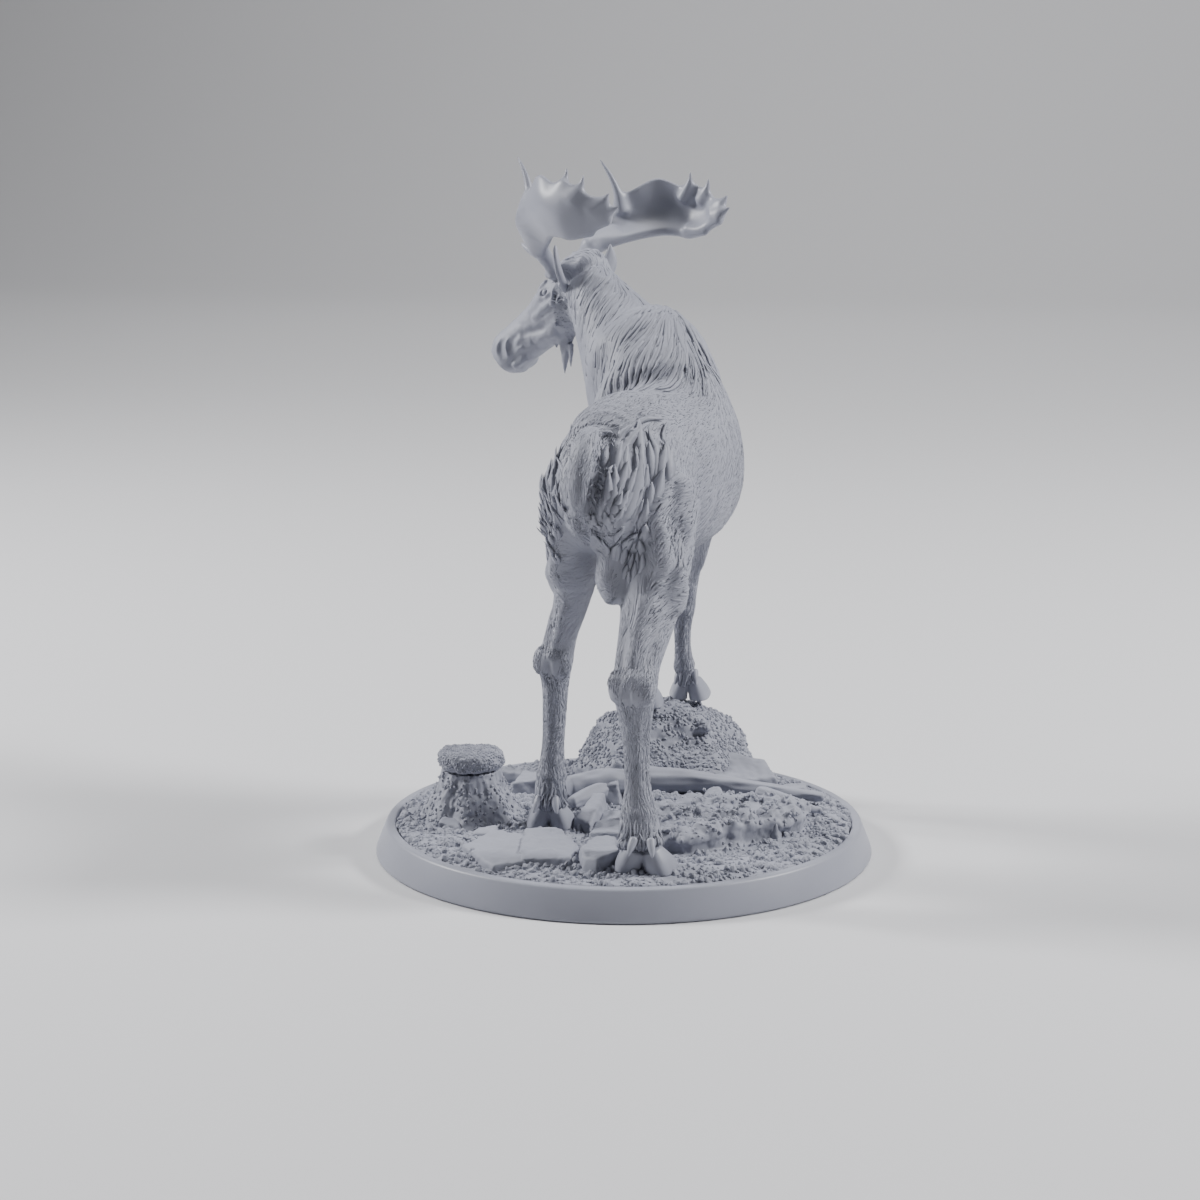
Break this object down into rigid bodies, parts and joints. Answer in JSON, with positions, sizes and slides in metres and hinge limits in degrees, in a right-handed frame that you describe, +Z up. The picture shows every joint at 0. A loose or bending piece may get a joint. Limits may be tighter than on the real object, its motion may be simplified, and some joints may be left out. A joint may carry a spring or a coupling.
{
  "type": "moose figurine",
  "caption": "Small cast resin moose with broad palmate antlers, forefeet up on a boulder, standing on a round bevelled scenic base with a stump, a log and gravel.",
  "frame": {"origin": "centre of the flat underside of the round base, on the table it stands on", "axes": "+Z up, out of the base; +Y the way the moose walks; +X towards the right side of the moose"},
  "size_m": [0.05, 0.0557, 0.0689],
  "materials": {
    "resin_coat": "matt bluish grey resin with the combed locks of the coat in relief",
    "resin_smooth": "smooth matt bluish grey resin",
    "resin_ground": "matt bluish grey resin with bark, rock and gravel in relief"
  },
  "bodies": {
    "root": {"stump": "resin_ground", "stump_moss": "resin_ground", "log": "resin_ground", "boulder": "resin_ground", "ground": "resin_ground", "torso": "resin_coat", "neck": "resin_coat", "head": "resin_coat", "tail": "resin_coat", "bell": "resin_coat", "ear_right": "resin_coat", "ear_left": "resin_coat", "leg_hind_right_upper": "resin_coat", "leg_hind_right_cannon": "resin_coat", "leg_hind_left_upper": "resin_coat", "leg_hind_left_cannon": "resin_coat", "leg_front_right_upper": "resin_coat", "leg_front_right_cannon": "resin_coat", "leg_front_left_upper": "resin_coat", "leg_front_left_cannon": "resin_coat", "eye_right": "resin_smooth", "eye_left": "resin_smooth", "antler_beam_right": "resin_smooth", "antler_palm_right": "resin_smooth", "antler_beam_left": "resin_smooth", "antler_palm_left": "resin_smooth", "base_disc": "resin_smooth", "hoof_hind_right": "resin_smooth", "hoof_hind_left": "resin_smooth", "hoof_front_right": "resin_smooth", "hoof_front_left": "resin_smooth"}
  },
  "joints": []
}
